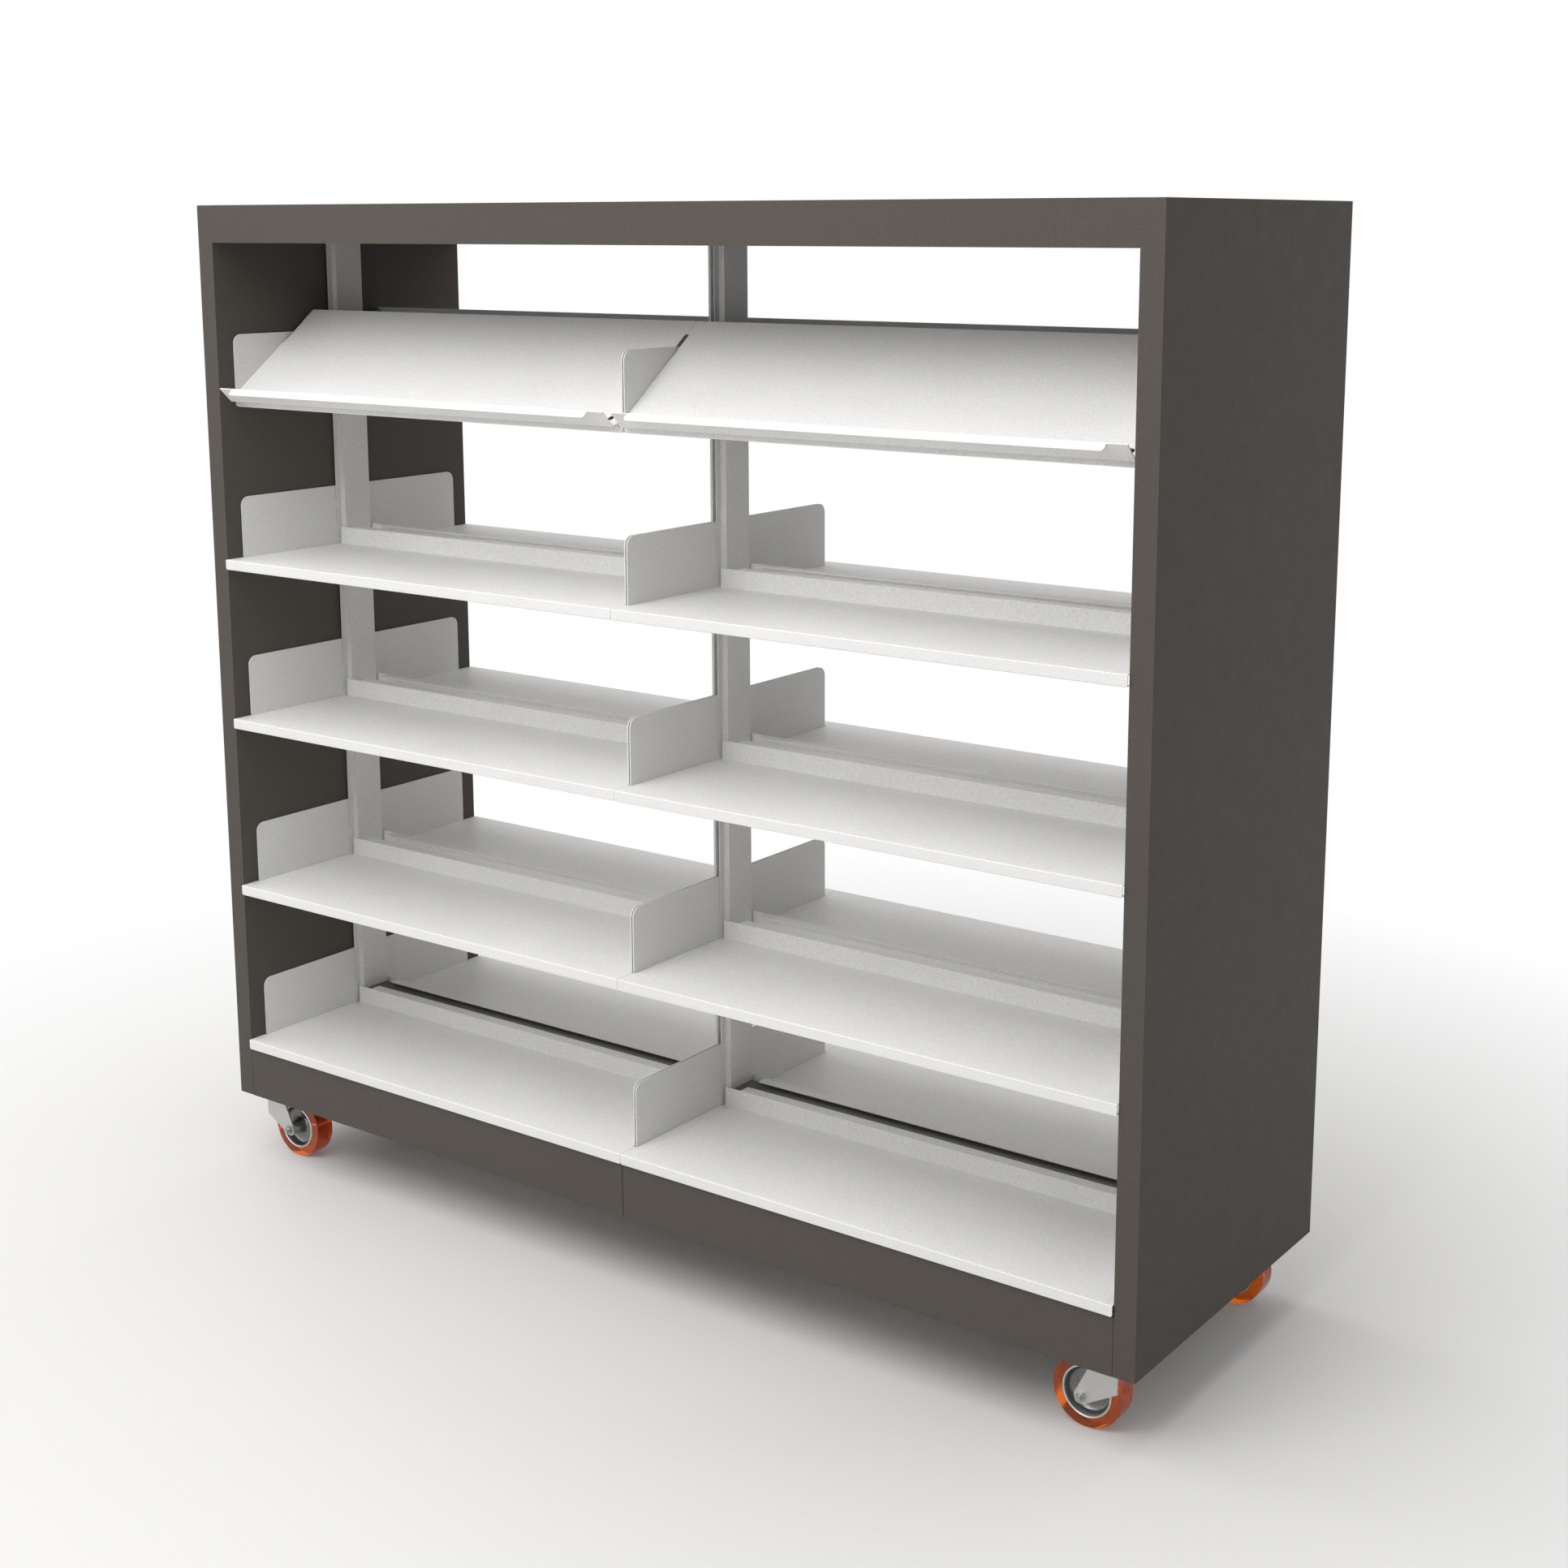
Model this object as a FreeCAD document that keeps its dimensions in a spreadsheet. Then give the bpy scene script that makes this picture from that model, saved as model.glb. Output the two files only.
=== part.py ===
import FreeCAD, Part
import math
import os
import re
import Sketcher

# Mobile double-sided periodical display rack.
# Millimetres. X runs along the rack, the front looks to -Y, Z is up.
# The origin is on the floor, under the middle of the case.

doc = FreeCAD.newDocument("periodical_rack")
V = FreeCAD.Vector

# ---------------------------------------------------------------- driving sizes

SIZES = {
    # case
    "bay_pitch": 1000.0,
    "panel_thick": 40.0,
    "case_depth": 663.0,
    "case_height": 1805.0,
    "case_clear": 6.0,
    "fascia_height": 71.0,
    "board_thick": 18.0,
    "case_edge_round": 1.2,
    "plinth_height": 100.0,
    "plinth_seam": 1.5,
    # posts
    "post_width": 36.0,
    "post_depth": 68.0,
    "post_wall": 2.0,
    "nose_depth": 12.0,
    "nose_wall": 1.5,
    "groove_clear": 0.2,
    "slot_pitch": 50.0,
    "slot_height": 20.0,
    "slot_margin": 40.0,
    # tiers: five decks from the plinth to the display tier, three of them hung a
    # little above an even spacing
    "plinth_clear": 1.5,
    "display_headroom": 368.0,
    "tier_2_shift": 0.6,
    "tier_3_shift": 17.3,
    "tier_4_shift": 9.9,
    # shelves
    "shelf_sheet": 1.5,
    "shelf_overhang": 5.0,
    "shelf_end_gap": 0.4,
    "shelf_edge": 20.0,
    "shelf_hem": 12.0,
    "shelf_bend": 2.0,
    "shelf_corner": 5.0,
    "front_strip": 41.0,
    "strip_relief": 3.0,
    "flange_gap": 2.0,
    "upstand_clear": 7.5,
    "upstand_height": 35.0,
    "upstand_nose_gap": 4.8,
    "deck_nose_gap": 4.0,
    "return_width": 25.0,
    "return_post_gap": 27.0,
    "stop_slot_long": 12.0,
    "stop_slot_wide": 3.0,
    "stop_slot_end": 14.0,
    "stop_slot_fore": 13.5,
    # brackets
    "bracket_plate": 2.0,
    "bracket_gap": 1.5,
    "bracket_side_gap": 0.4,
    "bracket_setback": 38.0,
    "bracket_rise": 120.5,
    "bracket_tuck": 0.5,
    "bracket_round": 18.0,
    "bracket_toe_round": 5.0,
    "bracket_ledge": 12.5,
    "ledge_setback": 1.0,
    "ledge_tail": 14.0,
    "hook_neck": 12.0,
    "hook_drop": 5.0,
    "hook_barb": 3.0,
    "hook_clear": 0.3,
    # display panels
    "display_slope": 37.4,
    "display_foot": 21.0,
    "display_sink": 6.5,
    "display_post_gap": 43.0,
    "lip_rise": 36.0,
    "lip_lean": 5.2,
    "lip_fold": 0.2,
    "lip_end": 9.0,
    "rim_out": 15.3,
    "rim_dip": 2.2,
    "rim_end": 44.0,
    "rim_round": 6.0,
    "relief_fore": 33.0,
    "relief_aft": 34.0,
    "relief_inner": 1.0,
    "relief_outer": 4.0,
    "wing_outer_gap": 6.5,
    "plate_heel": 8.0,
    "cheek_front": 24.0,
    "cheek_rear": 150.0,
    "pin_hole": 12.0,
    "pin_hole_end": 26.0,
    "pin_hole_up": 19.0,
    # base frame
    "cross_margin": 0.5,
    "cross_height": 40.0,
    "cross_wall": 2.5,
    "spine_width": 60.0,
    "spine_foot": 100.0,
    "spine_height": 50.0,
    # casters
    "wheel_dia": 125.0,
    "wheel_width": 40.0,
    "caster_inset_front": 70.0,
    "swivel_offset": 36.0,
    "swivel_plate_long": 78.0,
    "swivel_plate_wide": 68.0,
    "swivel_plate_thick": 4.0,
    "swivel_plate_round": 6.0,
    "plate_hole_edge": 9.0,
    "plate_bolt_dia": 8.0,
    "bolt_hole_clear": 0.4,
    "bolt_head_flat": 13.0,
    "bolt_head_high": 5.3,
    "bolt_reach": 12.0,
    "upper_race_dia": 46.0,
    "upper_race_high": 6.0,
    "lower_race_dia": 54.0,
    "lower_race_high": 15.0,
    "race_bevel": 3.0,
    "race_gap": 0.5,
    "king_pin_dia": 12.0,
    "king_head_lip": 3.0,
    "king_head_high": 4.5,
    "crown_gap": 1.0,
    "crown_thick": 3.5,
    "crown_front": 28.0,
    "crown_rear": 17.0,
    "leg_thick": 3.0,
    "leg_gap": 17.0,
    "leg_rear": 17.0,
    "leg_front": 45.0,
    "leg_rear_turn": 26.6,
    "leg_front_turn": 60.0,
    "boss_dia": 26.0,
    "axle_dia": 10.0,
    "axle_clear": 0.3,
    "running_clear": 0.08,
    "axle_head_flat": 16.0,
    "axle_head_high": 6.5,
    "axle_end": 5.0,
    "hub_dia": 89.0,
    "hub_side_gap": 0.5,
    "hub_boss_dia": 26.0,
    "hub_boss_flare": 1.5,
    "hub_rim": 3.0,
    "hub_proud": 1.5,
    "hub_taper": 5.0,
    "hub_web": 10.0,
    "tyre_shoulder": 3.0,
    # how far a cut runs past the edge that it trims
    "overcut": 10.0,
}

sheet = doc.addObject("Spreadsheet::Sheet", "Sizes")
for row, (name, value) in enumerate(SIZES.items(), start=1):
    sheet.set("A%d" % row, name)
    sheet.set("B%d" % row, str(value))
    sheet.setAlias("B%d" % row, name)
doc.recompute()

FUNCTIONS = ("sin", "cos", "tan", "sqrt", "ceil", "floor")


def formula(text):
    """Point every size name in a formula at its cell in the sheet."""
    def cell(match):
        word = match.group(0)
        return word if word in FUNCTIONS else "Sizes." + word
    return re.sub(r"[a-z][a-z_0-9]*", cell, str(text))


def bind(obj, **properties):
    """Drive properties of an object by formulas over the sheet."""
    for name, text in properties.items():
        obj.setExpression(name, formula(text))


def place(obj, x="0", y="0", z="0", axis=None, angle=0.0):
    """Place an object; the position is driven by formulas."""
    if axis is not None:
        obj.Placement = FreeCAD.Placement(V(), FreeCAD.Rotation(axis, angle))
    obj.setExpression("Placement.Base.x", formula(x))
    obj.setExpression("Placement.Base.y", formula(y))
    obj.setExpression("Placement.Base.z", formula(z))


# ---------------------------------------------------------------- sketch helpers

def new_body(label):
    body = doc.addObject("PartDesign::Body", "Body_" + label)
    body.Label = label
    return body


def origin_plane(body, role):
    for feature in body.Origin.OriginFeatures:
        if feature.Role == role:
            return feature
    raise ValueError(role)


def new_sketch(body, role, level=None):
    """A sketch on one of the body's own planes, lifted off it by a formula."""
    sketch = body.newObject("Sketcher::SketchObject", body.Name + "_sketch")
    sketch.AttachmentSupport = (origin_plane(body, role), [""])
    sketch.MapMode = "FlatFace"
    if level is not None:
        sketch.setExpression("AttachmentOffset.Base.z", formula(level))
    return sketch


def fix_point(sketch, geo, end, x, y, near=(1.0, 1.0)):
    """Hold one sketch point at two driven distances from the origin."""
    for kind, text, start in (("DistanceX", x, near[0]), ("DistanceY", y, near[1])):
        index = sketch.addConstraint(Sketcher.Constraint(kind, -1, 1, geo, end, start))
        sketch.setExpression("Constraints[%d]" % index, formula(text))


def outline(sketch, corners):
    """A closed outline of straight edges through driven corners."""
    count = len(corners)
    first = sketch.GeometryCount
    for index in range(count):
        start = V(index, index * index, 0)
        end = V(index + 1, (index + 1) * (index + 1), 0)
        sketch.addGeometry(Part.LineSegment(start, end), False)
    for index in range(count):
        after = first + (index + 1) % count
        sketch.addConstraint(Sketcher.Constraint("Coincident", first + index, 2, after, 1))
    for index, (x, y) in enumerate(corners):
        fix_point(sketch, first + index, 1, x, y)


def rectangle(sketch, x0, x1, y0, y1):
    outline(sketch, [(x0, y0), (x1, y0), (x1, y1), (x0, y1)])


def circle(sketch, x, y, diameter):
    geo = sketch.addGeometry(Part.Circle(V(1, 1, 0), V(0, 0, 1), 1.0), False)
    fix_point(sketch, geo, 3, x, y)
    index = sketch.addConstraint(Sketcher.Constraint("Radius", geo, 1.0))
    sketch.setExpression("Constraints[%d]" % index, formula("(%s) / 2" % diameter))


def corner_ear(sketch, x, y, hand, spot, size):
    """The waste outside one rounded lower corner at (x, y), drawn as a closed loop.

    spot and size are the corner and its radius as numbers, to start the arc from.
    """
    radius = "shelf_corner"
    grow = "+" if hand > 0 else "-"
    shrink = "-" if hand > 0 else "+"
    reach = "%s %s overcut" % (x, grow)
    below = "%s - overcut" % y
    inner = "%s %s %s" % (x, shrink, radius)
    points = [(x, "%s + %s" % (y, radius)), (reach, "%s + %s" % (y, radius)),
              (reach, below), (inner, below), (inner, y)]
    px, py = spot
    past = SIZES["overcut"]
    spots = [V(px, py + size, 0), V(px + past * hand, py + size, 0),
             V(px + past * hand, py - past, 0), V(px - hand * size, py - past, 0),
             V(px - hand * size, py, 0)]
    first = sketch.GeometryCount
    for index in range(4):
        sketch.addGeometry(Part.LineSegment(spots[index], spots[index + 1]), False)
    middle = V(px - hand * size, py + size, 0)
    low, high = (-math.pi / 2, 0.0) if hand > 0 else (math.pi, 1.5 * math.pi)
    arc = Part.ArcOfCircle(Part.Circle(middle, V(0, 0, 1), size), low, high)
    sketch.addGeometry(arc, False)
    for index in range(3):
        sketch.addConstraint(Sketcher.Constraint("Coincident", first + index, 2,
                                                 first + index + 1, 1))
    bottom, side = (1, 2) if hand > 0 else (2, 1)
    sketch.addConstraint(Sketcher.Constraint("Coincident", first + 3, 2, first + 4, bottom))
    sketch.addConstraint(Sketcher.Constraint("Coincident", first, 1, first + 4, side))
    for index in range(4):
        fix_point(sketch, first + index, 1, *points[index], near=spots[index])
    fix_point(sketch, first + 3, 2, *points[4], near=spots[4])
    index = sketch.addConstraint(Sketcher.Constraint("Radius", first + 4, size))
    sketch.setExpression("Constraints[%d]" % index, formula(radius))


def hexagon(sketch, x, y, flat):
    """A hexagon with two flats square to the sketch's second axis."""
    wide = "(%s) / sqrt(3)" % flat
    half = "(%s) / 2 / sqrt(3)" % flat
    high = "(%s) / 2" % flat
    outline(sketch, [
        ("%s + %s" % (x, wide), y),
        ("%s + %s" % (x, half), "%s + %s" % (y, high)),
        ("%s - %s" % (x, half), "%s + %s" % (y, high)),
        ("%s - %s" % (x, wide), y),
        ("%s - %s" % (x, half), "%s - %s" % (y, high)),
        ("%s + %s" % (x, half), "%s - %s" % (y, high)),
    ])


# ---------------------------------------------------------------- feature helpers

def pad(body, sketch, length, midplane=False, back=False):
    feature = body.newObject("PartDesign::Pad", body.Name + "_pad")
    feature.Profile = sketch
    feature.Midplane = midplane
    feature.Reversed = back
    bind(feature, Length=length)
    return feature


def pocket(body, sketch):
    """Cut a sketch through everything, both ways."""
    feature = body.newObject("PartDesign::Pocket", body.Name + "_pocket")
    feature.Profile = sketch
    feature.Type = "ThroughAll"
    feature.Midplane = True
    return feature


def revolve(body, sketch, axis):
    feature = body.newObject("PartDesign::Revolution", body.Name + "_turn")
    feature.Profile = sketch
    feature.ReferenceAxis = (sketch, [axis])
    feature.Angle = 360.0
    return feature


def edges_near(shape, direction, points, reach=0.2):
    """Names of the straight edges that run one way and pass a point across it."""
    names = []
    for number, edge in enumerate(shape.Edges, start=1):
        if not isinstance(edge.Curve, (Part.Line, Part.LineSegment)):
            continue
        run = edge.Vertexes[1].Point - edge.Vertexes[0].Point
        if run.Length < 1e-6 or abs(run.normalize().dot(direction)) < 0.999:
            continue
        middle = edge.CenterOfMass
        for point in points:
            offset = middle - point
            across = offset - direction * offset.dot(direction)
            if across.Length < reach:
                names.append("Edge%d" % number)
                break
    return names


def ring_edges(shape, radius):
    """Names of the full circles of one radius."""
    return ["Edge%d" % number for number, edge in enumerate(shape.Edges, start=1)
            if isinstance(edge.Curve, Part.Circle) and abs(edge.Curve.Radius - radius) < 0.01]


def round_off(body, base, names, radius):
    """Round named edges of the last feature."""
    if not names:
        raise ValueError("no edge to round on " + body.Label)
    feature = body.newObject("PartDesign::Fillet", body.Name + "_round")
    feature.Base = (base, names)
    bind(feature, Radius=radius)
    return feature


def fillet(body, base, direction, points, radius):
    """Round the straight edges of the last feature that pass the given points."""
    doc.recompute()
    return round_off(body, base, edges_near(base.Shape, direction, points), radius)


def box(label, x0, x1, y0, y1, z0, z1):
    """A plain block between driven faces."""
    block = doc.addObject("Part::Box", "Box_" + label)
    block.Label = label
    bind(block, Length="(%s) - (%s)" % (x1, x0), Width="(%s) - (%s)" % (y1, y0),
         Height="(%s) - (%s)" % (z1, z0))
    place(block, x0, y0, z0)
    return block


def group(label, pieces):
    """Several separate solids that share one node."""
    bundle = doc.addObject("Part::Compound", "Group_" + label)
    bundle.Label = label
    bundle.Links = pieces
    return bundle


S = SIZES
X_AXIS = V(1, 0, 0)
Y_AXIS = V(0, 1, 0)
Z_AXIS = V(0, 0, 1)
BAYS = (("left", -0.5), ("right", 0.5))
SIDES = (("front", 0.0), ("rear", 180.0))
nodes = []

# Places that several pieces share, as formulas over the sheet. Heights of the
# casters and the case are above the floor, those of the tiers above the foot of
# the case; the posts and brackets are laid out from the middle plane.
HALF_DEPTH = "case_depth / 2"
CASE_LIFT = "(wheel_dia + case_clear)"
CASE_TOP = CASE_LIFT + " + case_height"
CROWN_TOP = "(wheel_dia + crown_gap + crown_thick)"
RACE_TOP = "(%s + lower_race_high)" % CROWN_TOP
CASTER_HEIGHT = "(%s + race_gap + upper_race_high + swivel_plate_thick)" % RACE_TOP
POST_FOOT = "(%s + cross_height)" % CASTER_HEIGHT
POST_TOP = "(%s + case_height - board_thick)" % CASE_LIFT
CROSS_WIDTH = "(swivel_plate_wide + 2 * cross_margin)"
CASTER_X = "(bay_pitch - %s / 2)" % CROSS_WIDTH
CASTER_Y = "(case_depth / 2 - caster_inset_front)"
NOSE_TIP = "(post_depth / 2 + nose_depth)"
GROOVE_HALF = "(bracket_gap + bracket_plate + groove_clear)"
BETWEEN_BRACKETS = "(bay_pitch / 2 - bracket_gap - bracket_plate - bracket_side_gap)"
BRACKET_FRONT = "(case_depth / 2 - bracket_setback)"
BRACKET_DROP = "(shelf_edge - bracket_tuck)"
LOW_DECK = "(plinth_height + plinth_clear + shelf_edge)"
HIGH_DECK = "(case_height - display_headroom)"
EVEN_STEP = "(%s - %s) / 4" % (HIGH_DECK, LOW_DECK)
TIERS = [LOW_DECK]
for tier_number in (2, 3, 4):
    steps = tier_number - 1
    TIERS.append("(%s + %d * %s + tier_%d_shift)" % (LOW_DECK, steps, EVEN_STEP, tier_number))
TIERS.append(HIGH_DECK)


# ---------------------------------------------------------------- case

def end_panel(label, sign):
    """A lacquered board panel, its outer edges slightly rounded."""
    body = new_body(label)
    sketch = new_sketch(body, "XY_Plane")
    rectangle(sketch, "0", "panel_thick", "-case_depth / 2", HALF_DEPTH)
    slab = pad(body, sketch, "case_height")
    half = S["case_depth"] / 2
    face = S["panel_thick"]
    slab = fillet(body, slab, Z_AXIS, [V(face, half, 0), V(face, -half, 0)], "case_edge_round")
    ends = [V(face, 0, 0), V(face, 0, S["case_height"])]
    fillet(body, slab, Y_AXIS, ends, "case_edge_round")
    if sign > 0:
        place(body, "bay_pitch", "0", CASE_LIFT)
    else:
        place(body, "-bay_pitch", "0", CASE_LIFT, Z_AXIS, 180.0)
    nodes.append(body)


def canopy():
    """A downward tray between the end panels, flush with them all round."""
    body = new_body("canopy")
    sketch = new_sketch(body, "YZ_Plane")
    low = "-fascia_height"
    inner = "case_depth / 2 - board_thick"
    outline(sketch, [
        ("-case_depth / 2", low), ("-case_depth / 2", "0"), (HALF_DEPTH, "0"), (HALF_DEPTH, low),
        (inner, low), (inner, "-board_thick"), ("-(%s)" % inner, "-board_thick"),
        ("-(%s)" % inner, low),
    ])
    pad(body, sketch, "2 * bay_pitch", midplane=True)
    place(body, z=CASE_TOP)
    nodes.append(body)


def plinth(label, bay, front):
    """One plinth board of one bay, flush with the edges of the end panels."""
    inner = "plinth_seam / 2"
    outer = "bay_pitch - plinth_seam / 2"
    x0, x1 = (inner, outer) if bay > 0 else ("-(%s)" % outer, "-" + inner)
    y0, y1 = (HALF_DEPTH + " - board_thick", HALF_DEPTH)
    if front:
        y0, y1 = "-(%s)" % y1, "-(%s)" % y0
    nodes.append(box(label, x0, x1, y0, y1, CASE_LIFT, CASE_LIFT + " + plinth_height"))


# ---------------------------------------------------------------- posts

def post(label, x, halves):
    """A rolled post. Its front and rear noses hold a groove with punched hook slots.

    halves names the sides of the middle line that exist: the end posts are
    half sections whose open side lies against the end panel.
    """
    body = new_body(label)
    sketch = new_sketch(body, "XY_Plane")
    out = "post_width / 2"
    flange = "post_depth / 2"
    nose = "(%s + nose_wall)" % GROOVE_HALF
    floor = "(post_depth / 2 - post_wall)"
    quarter = [(out, flange), (nose, flange), (nose, NOSE_TIP), (GROOVE_HALF, NOSE_TIP),
               (GROOVE_HALF, floor)]
    right = [(x1, "-" + y1) for x1, y1 in reversed(quarter)] + quarter
    if halves == "both":
        left = [("-" + x1, y1) for x1, y1 in reversed(quarter)]
        left += [("-" + x1, "-" + y1) for x1, y1 in quarter]
        outline(sketch, right + left)
        inner = out + " - post_wall"
        rectangle(sketch, "-(%s)" % inner, inner, "-%s + post_wall" % floor,
                  "%s - post_wall" % floor)
    else:
        hand = "" if halves == "right" else "-"
        rim = [(hand + x1, y1) for x1, y1 in right]
        web = "(post_depth / 2 - 2 * post_wall)"
        inner = hand + "(post_width / 2 - post_wall)"
        outline(sketch, rim + [("0", floor), ("0", web), (inner, web), (inner, "-" + web),
                               ("0", "-" + web), ("0", "-" + floor)])
    bar = pad(body, sketch, POST_TOP + " - " + POST_FOOT)
    slots = new_sketch(body, "XZ_Plane")
    half_slot = "slot_height / 2"
    rectangle(slots, "-" + GROOVE_HALF, GROOVE_HALF, "slot_margin - " + half_slot,
              "slot_margin + " + half_slot)
    hole = pocket(body, slots)
    row = body.newObject("PartDesign::LinearPattern", body.Name + "_slots")
    row.Originals = [hole]
    row.Direction = (slots, ["V_Axis"])
    run = "floor((%s - %s - 2 * slot_margin) / slot_pitch)" % (POST_TOP, POST_FOOT)
    bind(row, Length=run + " * slot_pitch", Occurrences=run + " + 1")
    body.Tip = row
    place(body, x, "0", POST_FOOT)
    nodes.append(body)


# ---------------------------------------------------------------- brackets

def bracket(name, tier, hand, side, bay_edge):
    """A shelf bracket: a plate with a ledge under the shelf and two hooks behind.

    Local origin: the bay's edge line, the middle plane of the rack, the deck's top.
    hand is 1 where the shelf lies to +X of the plate.
    """
    body = doc.addObject("PartDesign::Body", name)
    front = "-" + BRACKET_FRONT
    back = "-(%s + hook_clear)" % NOSE_TIP
    barb = "-(post_depth / 2 - 2 * post_wall - hook_clear)"
    tip = "(%s + hook_barb)" % barb
    foot = "-" + BRACKET_DROP
    first = "(%s + slot_margin - %s - %s)" % (POST_FOOT, CASE_LIFT, tier)
    low_slot = "(%s + ceil((0 - %s) / slot_pitch) * slot_pitch)" % (first, first)
    seats = [low_slot + " - slot_height / 2", low_slot + " + slot_pitch - slot_height / 2"]
    corners = [(back, "bracket_rise"), (front, "bracket_rise"), (front, foot), (back, foot)]
    for seat in seats:
        corners += [(back, seat), (barb, seat), (barb, seat + " - hook_drop"),
                    (tip, seat + " - hook_drop"), (tip, seat + " + hook_neck"),
                    (back, seat + " + hook_neck")]
    near = "bracket_gap" if hand > 0 else "-(bracket_gap + bracket_plate)"
    sketch = new_sketch(body, "YZ_Plane", near)
    outline(sketch, corners)
    plate = pad(body, sketch, "bracket_plate")
    face = hand * (S["bracket_gap"] + S["bracket_plate"] / 2)
    front_y = -(S["case_depth"] / 2 - S["bracket_setback"])
    plate = fillet(body, plate, X_AXIS, [V(face, front_y, S["bracket_rise"])], "bracket_round")
    toe = V(face, front_y, S["bracket_tuck"] - S["shelf_edge"])
    fillet(body, plate, X_AXIS, [toe], "bracket_toe_round")
    ledge = new_sketch(body, "XY_Plane", foot)
    reach = "(bracket_gap + bracket_ledge)"
    x0, x1 = ("bracket_gap", reach) if hand > 0 else ("-" + reach, "-bracket_gap")
    rectangle(ledge, x0, x1, front + " + shelf_hem + ledge_setback", back + " - ledge_tail")
    pad(body, ledge, "bracket_plate")
    if side:
        place(body, bay_edge, "0", CASE_LIFT + " + " + tier, Z_AXIS, side)
    else:
        place(body, bay_edge, "0", CASE_LIFT + " + " + tier)
    return body


def tier_brackets(number, tier):
    """All eight brackets of one tier: both ends of both bays, front and rear."""
    pieces = []
    for side_name, turn in SIDES:
        for edge, right_hand in (("-bay_pitch", 1), ("0", -1), ("0", 1), ("bay_pitch", -1)):
            hand = right_hand if turn == 0.0 else -right_hand
            name = "bracket_%d_%s_%d" % (number, side_name, len(pieces))
            pieces.append(bracket(name, tier, hand, turn, edge))
    nodes.append(group("brackets_tier_%d" % number, pieces))


# ---------------------------------------------------------------- shelves

def shelf(label, bay, tier, turn, full):
    """A folded sheet shelf: hem, front edge, deck, upstand and return flange.

    A full shelf has a front strip that passes in front of the brackets; the
    short tray under a display panel ends flush with them.
    """
    body = new_body(label)
    if full:
        nose = "-(case_depth / 2 + shelf_overhang)"
        half = "(bay_pitch / 2 - shelf_end_gap)"
        nose_y = -(S["case_depth"] / 2 + S["shelf_overhang"])
        half_x = S["bay_pitch"] / 2 - S["shelf_end_gap"]
    else:
        nose = "-" + BRACKET_FRONT
        half = BETWEEN_BRACKETS
        nose_y = -(S["case_depth"] / 2 - S["bracket_setback"])
        half_x = (S["bay_pitch"] / 2 - S["bracket_gap"] - S["bracket_plate"]
                  - S["bracket_side_gap"])
    stand = "-(post_depth / 2 + upstand_clear)"
    profile = new_sketch(body, "YZ_Plane")
    outline(profile, [
        (nose + " + shelf_hem", "-shelf_edge"), (nose, "-shelf_edge"), (nose, "0"),
        (stand, "0"), (stand, "upstand_height"),
        (stand + " + return_width", "upstand_height"),
        (stand + " + return_width", "upstand_height - shelf_sheet"),
        (stand + " + shelf_sheet", "upstand_height - shelf_sheet"),
        (stand + " + shelf_sheet", "-shelf_sheet"),
        (nose + " + shelf_sheet", "-shelf_sheet"),
        (nose + " + shelf_sheet", "-shelf_edge + shelf_sheet"),
        (nose + " + shelf_hem", "-shelf_edge + shelf_sheet"),
    ])
    fold = pad(body, profile, "2 * " + half, midplane=True)
    bends = [V(0, nose_y, 0), V(0, nose_y, -S["shelf_edge"]),
             V(0, -S["post_depth"] / 2 - S["upstand_clear"], S["upstand_height"])]
    fold = fillet(body, fold, X_AXIS, bends, "shelf_bend")

    clear = "(bay_pitch / 2 + overcut)"
    strip = "(-case_depth / 2 + front_strip - shelf_overhang)"
    notch = "-(%s + deck_nose_gap)" % NOSE_TIP
    wing = "(%s + shelf_sheet + hook_clear)" % stand
    upstand_end = "(bay_pitch / 2 - %s - nose_wall - upstand_nose_gap)" % GROOVE_HALF
    return_end = "(bay_pitch / 2 - post_width / 2 - return_post_gap)"
    for sign in ("", "-"):
        plan = new_sketch(body, "XY_Plane")
        rear = [(BETWEEN_BRACKETS, notch), (upstand_end, notch), (upstand_end, wing),
                (return_end, wing), (return_end, "0"), (clear, "0")]
        if full:
            relief = "(%s - strip_relief)" % BETWEEN_BRACKETS
            front = [(clear, strip), (relief, strip), (relief, strip + " + strip_relief"),
                     (BETWEEN_BRACKETS, strip + " + strip_relief")]
        else:
            front = [(clear, notch)]
            rear = rear[1:]
        outline(plan, [(sign + x, y) for x, y in front + rear])
        fold = pocket(body, plan)
    flanges = new_sketch(body, "XY_Plane")
    start = strip + " + strip_relief" if full else nose + " + shelf_hem"
    for sign in ("", "-"):
        rectangle(flanges, sign + BETWEEN_BRACKETS,
                  sign + "(%s - shelf_sheet)" % BETWEEN_BRACKETS, start,
                  notch + " - flange_gap")
    fold = pad(body, flanges, BRACKET_DROP + " - bracket_plate", back=True)
    slots = new_sketch(body, "XY_Plane")
    for sign in ("", "-"):
        rectangle(slots, sign + "(bay_pitch / 2 - stop_slot_end)",
                  sign + "(bay_pitch / 2 - stop_slot_end - stop_slot_long)",
                  stand + " - stop_slot_fore - stop_slot_wide / 2",
                  stand + " - stop_slot_fore + stop_slot_wide / 2")
    fold = pocket(body, slots)
    ears = new_sketch(body, "XZ_Plane", "-(%s) + overcut" % nose)
    for hand in (1, -1):
        edge = half if hand > 0 else "-" + half
        spot = (hand * half_x, -S["shelf_edge"])
        corner_ear(ears, edge, "-shelf_edge", hand, spot, S["shelf_corner"])
    cut = body.newObject("PartDesign::Pocket", body.Name + "_corners")
    cut.Profile = ears
    bind(cut, Length="shelf_hem + overcut")
    place(body, "%g * bay_pitch" % bay, "0", CASE_LIFT + " + " + tier,
          Z_AXIS if turn else None, turn)
    nodes.append(body)


# ---------------------------------------------------------------- display panels

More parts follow.
